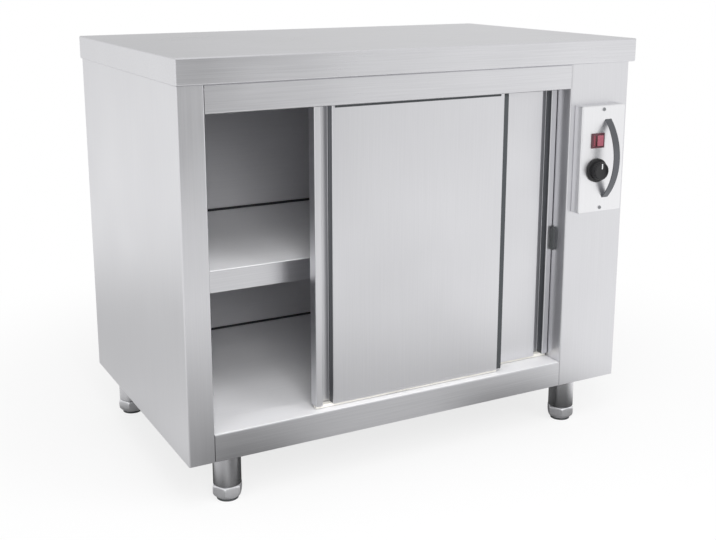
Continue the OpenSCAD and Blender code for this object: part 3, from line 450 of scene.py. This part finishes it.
# Dark cords as painted shade: one along the rear edge of the shelf and another along that of the floor, where
# the decks' shadow gaps against the back of the cavity are. They show as thin dark lines where the two decks
# meet the back of the cavity.
def shade_gap_cord_rings(node, depth):
    """Rings of a cord with eased corners along a deck's rear edge, against the back of the cavity."""
    low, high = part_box(node)
    height, corner, sunk, short = 0.005, 0.0015, 0.0005, 0.001
    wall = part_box("back_liner")[0].y
    middle = (wall - depth / 2, high.z + height / 2 - sunk)
    section = rounded_rectangle(depth / 2, height / 2, corner) + middle
    return carried(section, "x", (low.x + short, high.x - short))


# Black-grey and matt, like solid rubber cord: the colour of the painted shade along the decks' rear edges.
painted_shade_cord = mottled("painted_shade_cord", "#313235", 0.8, 0.002, 0.6, 0.0001)
for name, deck, depth in (("shelf_painted_shade_cord", "shelf", 0.0075), ("floor_painted_shade_cord", "cavity_floor", 0.005)):
    make_piece(name, [shade_gap_cord_rings(deck, depth)], painted_shade_cord, "cabinet", [])


# Insulation: slabs of mineral wool cut to fit in the walls, over the ceiling and in the doors.
# They are matt, fluffy and straw-coloured, and hardly show once the linings are in.
wool = mottled("mineral_wool", "#d2bf84", 0.62, 0.004, 0.95, 0.0015)
finish_nodes(wool, "wall_insulation", "left_door_insulation", "right_door_insulation")


# Legs: round stainless tubes welded to the base, with a threaded plug pressed into each lower end.
# The fine polishing marks run round the tube and draw what it reflects out into upright bands.
def turned(profile, centre, points=64):
    """Rings of a shape turned about an upright axis, from a profile of (radius, height)."""
    angle = np.linspace(0, 2 * np.pi, points, endpoint=False)
    circle = np.stack([np.cos(angle), np.sin(angle)], -1)
    return np.stack([np.column_stack([centre[0] + r * circle[:, 0], centre[1] + r * circle[:, 1],
                                      np.full(points, h)]) for r, h in profile])


tube_finish = brushed_stainless("satin_tube_stainless", "#dcdcdf", 0.20, 0.26, "x", turned_marks=0.80)
tubes_low, tubes_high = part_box("leg_tubes")
tube_r, tube_wall = 0.0285, 0.0015
corners = ("front_left", "front_right", "rear_left", "rear_right")
foot_box = {corner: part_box(f"foot_{corner}") for corner in corners}
foot_middle = {c: ((low.x + high.x) / 2, (low.y + high.y) / 2) for c, (low, high) in foot_box.items()}
tube_lip, tube_cap = 0.0007, 0.003
lower_lip = arc((tube_r - tube_lip, tubes_low.z + tube_lip), tube_lip, 360, 270, 4)
tube_profile = [(tube_r, tubes_high.z), *lower_lip, (tube_r - tube_wall, tubes_low.z),
                (tube_r - tube_wall, tubes_high.z - tube_cap)]
make_piece("leg_tube_set", [turned(tube_profile, foot_middle[c]) for c in corners], tube_finish, "cabinet",
           ["leg_tubes"])
finish_nodes(tube_finish, "leg_plugs")


# Feet: hexagonal stainless feet with a rounded lower end, each on a screw and turning on a dark pad.
# Their satin finish scatters a little light, so they look paler than the tubes above.
def hexagon_foot(low, high, centre):
    """Rings of a foot: at each height the radius is the lesser of the hexagon's edge and a rounded cone,
    joined by a soft minimum so that the corners fade into the round lower end and the top rim."""
    height, corner_r, base_r, stud_r, points = 0.027, 0.032, 0.024, 0.006, 96
    bowl_out, bowl_share = 0.004, 0.55
    rim_out, rim_in, rim_start = 0.003, 0.0085, 0.80
    angle = np.linspace(0, 2 * np.pi, points, endpoint=False)
    flat = corner_r * np.cos(np.pi / 6) / np.cos((angle % (np.pi / 3)) - np.pi / 6)
    share = np.array([0.0, 0.03, 0.08, 0.16, 0.28, 0.42, 0.58, 0.74, 0.86, 0.93, 0.97, 1.0])
    bowl = base_r + (corner_r + bowl_out - base_r) * np.sin(np.pi / 2 * np.minimum(share / bowl_share, 1))
    rim = corner_r + rim_out - rim_in * np.clip((share - rim_start) / (1 - rim_start), 0, 1) ** 2
    round_r = np.minimum(bowl, rim)[:, None]
    sharp = 14.0
    radius = (flat[None] ** -sharp + round_r ** -sharp) ** (-1 / sharp)
    heights = low.z + height * share
    radius = np.concatenate([radius, np.full((2, points), stud_r)])
    heights = np.concatenate([heights, [low.z + height, high.z]])
    return np.stack([centre[0] + radius * np.cos(angle), centre[1] + radius * np.sin(angle),
                     np.repeat(heights[:, None], points, 1)], -1)


foot_finish = brushed_stainless("satin_foot_stainless", "#ededf0", 0.30, 0.38, "z", 0.76)
for corner in corners:
    low, high = foot_box[corner]
    make_piece(f"hex_foot_{corner}", [hexagon_foot(low, high, foot_middle[corner])], foot_finish,
               f"foot_screw_{corner}", [f"foot_{corner}"])


# Control box: a shallow stainless tray screwed over the pillar's cut-out, open against the pillar.
# It stands proud so that its left and upper edges show as soft grey bands. Its brushed steel is drawn lighter
# than the body's and looks almost white: painted light for the brightly lit right end of the front.
# Painted light: this steel is lighter than the body's.
box_painted_light_finish = brushed_stainless("control_box_painted_light_stainless", "#f4f4f6", 0.28, 0.38, "z")
box_low, box_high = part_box("control_box")
box_bend, box_lip = 0.0028, 0.006
flat_tray = tray_rings((box_high.x - box_low.x) / 2, (box_high.z - box_low.z) / 2, box_bend,
                       tray_profile(box_high.y - box_low.y, box_lip, sheet_t, box_bend))
box_rings = np.stack([flat_tray[..., 0] + (box_low.x + box_high.x) / 2, box_high.y - flat_tray[..., 2],
                      flat_tray[..., 1] + (box_low.z + box_high.z) / 2], -1)
make_piece("control_box_tray", [box_rings], box_painted_light_finish, "cabinet", ["control_box"])


# Two pan-head screws with cross recesses hold the control box, one above and one below.
# They are pressed from stainless steel: small grey domes with a soft shine and a dark cross.
def pan_head(centre, radius, height, points=48):
    """Rings of a domed head facing -Y: circles up the dome, then a cross-shaped outline at its crown that
    goes straight down into the head. The cross is a circle whose radius swells four times a turn."""
    angle = np.linspace(0, 2 * np.pi, points, endpoint=False)
    lobes = 0.22 + 0.30 * np.abs(np.cos(2 * angle)) ** 3
    one = np.ones_like(angle)
    dome = [(one, 0.0), (one, 0.45), (0.94 * one, 0.72), (0.80 * one, 0.92)]
    recess = [(lobes + 0.06, 1.0), (lobes, 0.96), (lobes * 0.8, 0.25)]
    return np.stack([np.stack([centre[0] + radius * s * np.cos(angle),
                               np.full(points, centre[1] - height * h),
                               centre[2] + radius * s * np.sin(angle)], -1) for s, h in dome + recess])


screws_low, screws_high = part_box("control_screws")
head_r, head_h = 0.004, box_low.y - screws_low.y
screw_x = (screws_low.x + screws_high.x) / 2
screw_heads = [pan_head((screw_x, box_low.y, z), head_r, head_h)
               for z in (screws_low.z + head_r, screws_high.z - head_r)]
screw_steel = mottled("pressed_stainless_screw", "#a9abae", 0.8, 0.002, 0.32, metallic=1.0)
make_piece("control_screw_heads", screw_heads, screw_steel, "cabinet", ["control_screws"])


# Guard strip: a flat stainless bar, bowed out in front of the controls with its ends fixed to the box, so
# that nothing knocks them. It is polished and shows sharp reflections; its steel is drawn dark grey, a
# painted dark reflection.
guard_low, guard_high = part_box("guard_strip")
guard_t = 0.002
guard_w = guard_high.x - guard_low.x
half_l, bow = (guard_high.z - guard_low.z) / 2, guard_high.y - guard_low.y
bow_r = (half_l ** 2 + bow ** 2) / (2 * bow)
half_turn = math.asin(half_l / bow_r)


def bowed_strip(count=41):
    """Rings of a flat bar with eased edges, carried along a circular arc that bows out to the front."""
    corner = 0.0007
    section = rounded_rectangle(guard_w / 2, guard_t / 2, corner, 4)
    turn = np.linspace(-half_turn, half_turn, count)[:, None]
    radius = bow_r - guard_t / 2 + section[None, :, 1]
    y = guard_low.y + bow_r - radius * np.cos(turn)
    z = (guard_low.z + guard_high.z) / 2 + radius * np.sin(turn)
    x = np.tile((guard_low.x + guard_high.x) / 2 + section[:, 0], (count, 1))
    return np.stack([x, np.minimum(y, guard_high.y), z], -1)


# Painted dark reflection: the bar's steel is drawn a dark grey.
guard_painted_dark_finish = brushed_stainless("guard_painted_reflection_stainless", "#6c6e72", 0.14, 0.20, "z")
make_piece("guard_bar", [bowed_strip()], guard_painted_dark_finish, "cabinet", ["guard_strip"])


# Rocker switch: a dark moulded housing snapped into the box, with a red rocker that pivots about an upright
# axis. The rocker is glossy tinted plastic. Its colour across it is painted light and shade: a darker edge, a
# dark upright band where its fold lies in shade, and a lit part. The moulded plastics round it have a slight
# shine and a fine grain.
black_plastic = mottled("moulded_black_plastic", "#171719", 0.8, 0.0008, 0.34, 0.00005)
bezel_plastic = mottled("moulded_bezel_plastic", "#512d35", 0.85, 0.0008, 0.36, 0.00005)
finish_nodes(bezel_plastic, "switch_housing")
finish_nodes(black_plastic, "cable_gland")
red_lens_painted_shade, red_tree, red_shader, red_place = new_finish("red_lens_painted_light")
rocker_low, rocker_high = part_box("switch_rocker")
red_along = add_node(red_tree, "ShaderNodeSeparateXYZ", {}, {"Vector": red_place}).outputs["X"]
red_share = add_node(red_tree, "ShaderNodeMapRange", {"From Min": rocker_low.x, "From Max": rocker_high.x},
                     {"Value": red_along})
red_painted_light_steps = add_node(red_tree, "ShaderNodeValToRGB", {}, {"Fac": red_share.outputs["Result"]})
# Painted light and shade across the rocker, from its left end to its right.
lens_painted_edge_shade, lens_painted_shade, lens_painted_light = "#702a38", "#32080e", "#8c4e5a"
lens_painted_light_steps = ((0.16, lens_painted_edge_shade), (0.24, lens_painted_shade), (0.40, lens_painted_shade), (0.48, lens_painted_light))
ramp = red_painted_light_steps.color_ramp.elements
ready_stops = len(ramp)
for step, (share, code) in enumerate(lens_painted_light_steps):
    stop = ramp[step] if step < ready_stops else ramp.new(share)
    stop.position, stop.color = share, linear_colour(code)
red_tree.links.new(red_shader.inputs["Base Color"], red_painted_light_steps.outputs["Color"])
red_shader.inputs["Roughness"].default_value = 0.22
red_shader.inputs["Coat Weight"].default_value = 0.3
finish_nodes(red_lens_painted_shade, "switch_rocker")


# Control knob: moulded black plastic with a skirt and a ribbed grip, pushed on the thermostat's shaft.
# A pale pointer is printed on its dished face.
def ribbed_knob(low, high, points=192):
    """Rings of a knob that faces -Y: a skirt, a grip whose radius ripples 24 times a turn, and a dished face.
    Each station is a radius, a height from the box and the share of the ripple there."""
    middle_x, middle_z = (low.x + high.x) / 2, (low.z + high.z) / 2
    skirt_r, grip_r, depth = (high.x - low.x) / 2, 0.0205, high.y - low.y
    angle = np.linspace(0, 2 * np.pi, points, endpoint=False)
    ribs, rib_h = 24, 0.00045
    ripple = rib_h * np.cos(ribs * angle)
    skirt = [(skirt_r - 0.0006, 0.0, 0), (skirt_r, 0.0006, 0), (skirt_r, 0.0040, 0),
             (skirt_r - 0.0008, 0.0050, 0), (grip_r + 0.0003, 0.0056, 0)]
    grip = [(grip_r, 0.0066, 1), (grip_r - 0.0014, depth - 0.0032, 1), (grip_r - 0.0022, depth - 0.0016, 0.5)]
    face = [(grip_r - 0.0034, depth - 0.0009, 0), (grip_r - 0.0056, depth - 0.0009, 0),
            (grip_r - 0.0064, depth - 0.0013, 0), (0.004, depth - 0.0015, 0)]
    return np.stack([np.stack([middle_x + (r + share * ripple) * np.cos(angle), np.full(points, high.y - h),
                               middle_z + (r + share * ripple) * np.sin(angle)], -1)
                     for r, h, share in skirt + grip + face])


knob_low, knob_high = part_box("control_knob")
make_piece("control_knob_grip", [ribbed_knob(knob_low, knob_high)], black_plastic, "knob", ["control_knob"])
mark_half_w, mark_half_l, mark_corner, mark_start = 0.0011, 0.006, 0.0009, 0.6
mark_low = knob_low.z + mark_start * (knob_high.z - knob_low.z)
mark_middle = ((knob_low.x + knob_high.x) / 2, mark_low + mark_half_l)
mark_plan = rounded_rectangle(mark_half_w, mark_half_l, mark_corner) + mark_middle
mark_depths = (knob_low.y + 0.0002, knob_low.y + 0.0016)
# Printed paint: pale grey and matt.
mark_paint = mottled("pointer_paint", "#ccced0", 0.95, 0.001, 0.5)
make_piece("control_knob_pointer", [carried(mark_plan, "y", mark_depths)], mark_paint, "knob", [])


# Parts in the technical compartment: thermostat, its bulb and capillary, fan, ring heater and terminals.
# They sit behind the pillar and the partition, and show only through the air slots: bare copper, grey motor
# paint, frosty cast aluminium, a heater sheath browned by heat, and pale moulded plastic.
copper = mottled("drawn_copper", "#b87333", 0.8, 0.01, 0.35, metallic=1.0)
painted_motor = mottled("painted_motor", "#6f7276", 0.85, 0.003, 0.5, 0.0002)
cast_aluminium = mottled("cast_aluminium", "#a9adb2", 0.8, 0.0015, 0.45, 0.0002, metallic=1.0)
oxidised_sheath = mottled("oxidised_heater_sheath", "#5a4a42", 0.7, 0.004, 0.5, metallic=1.0)
pale_plastic = mottled("pale_moulded_plastic", "#d9d4c4", 0.92, 0.001, 0.5, 0.0001)
finish_nodes(copper, "thermostat_bulb")
finish_nodes(painted_motor, "fan_motor")
finish_nodes(cast_aluminium, "fan_wheel")
finish_nodes(oxidised_sheath, "heating_element")
finish_nodes(pale_plastic, "thermostat", "terminal_block")
finish_nodes(lining, "fan_housing")
finish_nodes(tube_finish, "thermostat_shaft")


# Stage: a plain pale floor and a white surround, which the steel reflects too. A strength of one is white.
# What the steel sees is taken down in patches, as in a room with unlit ends, so that its flat faces differ in
# tone. The floor keeps a soft shadow of the cupboard.
def taken_down(tree, level, place, patches):
    """A level taken down round the middle of each patch: multiplied by a smooth step in the distance from it,
    from the patch's least share at the near distance to one at the far distance. A patch is its middle, near
    distance, far distance and least share, and the place is a vector socket."""
    for middle, near, far, least in patches:
        apart = add_node(tree, "ShaderNodeVectorMath", {"operation": "DISTANCE", 1: middle}, {0: place})
        share = add_node(tree, "ShaderNodeMapRange",
                         {"interpolation_type": "SMOOTHSTEP",
                          "From Min": near, "From Max": far, "To Min": least},
                         {"Value": apart.outputs["Value"]})
        level = add_node(tree, "ShaderNodeMath", {"operation": "MULTIPLY"},
                         {0: level, 1: share.outputs["Result"]}).outputs["Value"]
    return level


floor_half = 12.0
floor_mesh = bpy.data.meshes.new("studio_floor")
floor_mesh.from_pydata([(-floor_half, -floor_half, 0), (floor_half, -floor_half, 0),
                        (floor_half, floor_half, 0), (-floor_half, floor_half, 0)], [], [(0, 1, 2, 3)])
floor = bpy.data.objects.new("studio_floor", floor_mesh)
bpy.context.scene.collection.objects.link(floor)
floor_paint, floor_tree, floor_shader, floor_place = new_finish("floor_paint")
floor_shader.inputs["Base Color"].default_value = linear_colour("#e4e4e4")
floor_shader.inputs["Roughness"].default_value = 0.9

# The floor as the steel sees it: lighter to the right, dim before the doors and the front legs, far off
# towards the three unlit ends of the room, round the body's corners and under the body, and white at most.
front_way = ((0.20, -0.98, 0.0), 0.10, 0.30, 0.10)
rear_way = ((0.18, 0.98, 0.0), 0.15, 0.66, 0.64)
right_way = ((0.92, 0.39, 0.0), 0.20, 0.75, 0.66)
before_doors = ((-0.10, -0.62, 0.0), 0.15, 1.1, 0.50)
rear_right = ((1.3, 1.6, 0.0), 0.5, 2.8, 0.55)
by_right_leg = ((0.37, -0.36, 0.0), 0.10, 0.28, 0.08)
by_left_leg = ((-0.32, -0.47, 0.0), 0.05, 0.22, 0.35)
by_corners = ((0.75, 0.75, 0.0), 0.2, 1.2, 0.68)
under_body = ((0.0, 0.0, 0.0), 0.0, 0.12, 0.12)
body_half = (0.50, 0.28, 0.0)
floor_axes = add_node(floor_tree, "ShaderNodeSeparateXYZ", {}, {"Vector": floor_place})
pool = add_node(floor_tree, "ShaderNodeMapRange",
                {"From Min": -0.8, "From Max": 0.9, "To Min": 0.98, "To Max": 1.75},
                {"Value": floor_axes.outputs["X"]})
mirrored = add_node(floor_tree, "ShaderNodeVectorMath", {"operation": "ABSOLUTE"}, {0: floor_place})
past_body = add_node(floor_tree, "ShaderNodeVectorMath", {"operation": "SUBTRACT", 1: body_half},
                     {0: mirrored.outputs["Vector"]})
outside = add_node(floor_tree, "ShaderNodeVectorMath", {"operation": "MAXIMUM", 1: (0.0, 0.0, 0.0)},
                   {0: past_body.outputs["Vector"]})
near_floor = taken_down(floor_tree, pool.outputs["Result"], floor_place,
                        (before_doors, rear_right, by_right_leg, by_left_leg))
near_floor = taken_down(floor_tree, near_floor, mirrored.outputs["Vector"], (by_corners,))
near_floor = taken_down(floor_tree, near_floor, outside.outputs["Vector"], (under_body,))
floor_way = add_node(floor_tree, "ShaderNodeVectorMath", {"operation": "NORMALIZE"}, {0: floor_place})
far_floor = taken_down(floor_tree, near_floor, floor_way.outputs["Vector"], (front_way, rear_way, right_way))
away = add_node(floor_tree, "ShaderNodeVectorMath", {"operation": "LENGTH"}, {0: floor_place})
far_off = add_node(floor_tree, "ShaderNodeMapRange",
                   {"interpolation_type": "SMOOTHSTEP", "From Min": 1.4, "From Max": 4.0},
                   {"Value": away.outputs["Value"]})
in_steel = add_node(floor_tree, "ShaderNodeMix", {"data_type": "FLOAT"},
                    {0: far_off.outputs["Result"], 2: near_floor, 3: far_floor})
white_at_most = add_node(floor_tree, "ShaderNodeMath", {"operation": "MINIMUM", 1: 1.0},
                         {0: in_steel.outputs[0]})

# Seen by the camera the floor is white emission, less so near the body, where its paint shows the shadow.
shadow_share = ((0.0, 0.0, 0.0), 0.5, 1.5, 0.78)
floor_rays = add_node(floor_tree, "ShaderNodeLightPath").outputs
seen_floor = taken_down(floor_tree, floor_rays["Is Camera Ray"], floor_place, (shadow_share,))
for ray in ("Is Glossy Ray", "Is Transmission Ray"):
    seen_floor = add_node(floor_tree, "ShaderNodeMath", {"operation": "MAXIMUM"},
                          {0: seen_floor, 1: floor_rays[ray]}).outputs["Value"]
floor_level = add_node(floor_tree, "ShaderNodeMix", {"data_type": "FLOAT", 2: 1.0},
                       {0: floor_rays["Is Glossy Ray"], 3: white_at_most.outputs["Value"]})
floor_white = add_node(floor_tree, "ShaderNodeEmission", {"Color": (1, 1, 1, 1)},
                       {"Strength": floor_level.outputs[0]})
floor_mix = add_node(floor_tree, "ShaderNodeMixShader", {},
                     {0: seen_floor, 1: floor_shader.outputs["BSDF"], 2: floor_white.outputs["Emission"]})
floor_tree.links.new(floor_tree.nodes["Material Output"].inputs["Surface"], floor_mix.outputs["Shader"])
floor_mesh.materials.append(floor_paint)

# The surround as the steel sees it: dim towards the same three ends of the room and a little dimmer overhead.
world = bpy.data.worlds.new("studio_surround")
bpy.context.scene.world = world
world.use_nodes = True
room = world.node_tree
room_rays = add_node(room, "ShaderNodeLightPath").outputs
heading = add_node(room, "ShaderNodeTexCoord").outputs["Generated"]
heading_axes = add_node(room, "ShaderNodeSeparateXYZ", {}, {"Vector": heading})
overhead = add_node(room, "ShaderNodeMapRange",
                    {"From Min": 0.0, "From Max": 0.3, "To Min": 1.0, "To Max": 0.86},
                    {"Value": heading_axes.outputs["Z"]})
walls = taken_down(room, overhead.outputs["Result"], heading, (front_way, rear_way, right_way))
room_level = add_node(room, "ShaderNodeMix", {"data_type": "FLOAT", 2: 0.55},
                      {0: room_rays["Is Glossy Ray"], 3: walls}).outputs[0]
for ray in ("Is Camera Ray", "Is Transmission Ray"):
    room_level = add_node(room, "ShaderNodeMath", {"operation": "MAXIMUM"},
                          {0: room_level, 1: room_rays[ray]}).outputs["Value"]
surround = room.nodes["Background"]
surround.inputs["Color"].default_value = (1, 1, 1, 1)
room.links.new(surround.inputs["Strength"], room_level)


# Lamps: four soft squares at a plain level. They are hidden from reflections and light the dull pieces.
# Two of them are aimed through the doorway at the shelf and the cavity floor.
def soft_lamp(name, place, aim, size, power):
    """A square area lamp at a place, turned to face a point."""
    data = bpy.data.lights.new(name, "AREA")
    data.size, data.energy = size, power
    lamp = bpy.data.objects.new(name, data)
    bpy.context.scene.collection.objects.link(lamp)
    way = np.subtract(aim, place)
    lamp.location = place
    lamp.rotation_euler = (math.atan2(math.hypot(way[0], way[1]), -way[2]), 0, math.atan2(-way[0], way[1]))
    lamp.visible_glossy = False
    return lamp


soft_lamp("key_lamp", (1.4, -2.6, 2.2), (0, 0, 0.4), 1.6, 42)
soft_lamp("doorway_lamp", (-0.55, -1.50, 2.30), (-0.36, -0.2, 0.3), 0.9, 17)
soft_lamp("low_lamp", (-0.9, -2.4, 1.6), (-0.36, 0.0, 0.3), 0.9, 32)
soft_lamp("fill_lamp", (-2.4, -1.6, 1.8), (0, 0, 0.4), 1.6, 22)


# Camera at the photograph's viewing angle: left of the front, a little above the worktop.
# The lens is shifted a little, so that the uprights converge only slightly.
camera_data = bpy.data.cameras.new("camera")
camera_data.lens, camera_data.sensor_width = 55.01, 36.0
camera_data.shift_y = -0.08
camera = bpy.data.objects.new("camera", camera_data)
camera.location = (-1.1458, -2.1302, 1.0516)
pitch_down, yaw_right = 13.028, 28.214
camera.rotation_euler = (math.radians(90 - pitch_down), 0, math.radians(-yaw_right))
bpy.context.scene.collection.objects.link(camera)
bpy.context.scene.camera = camera
bpy.context.scene.view_settings.view_transform = "Standard"
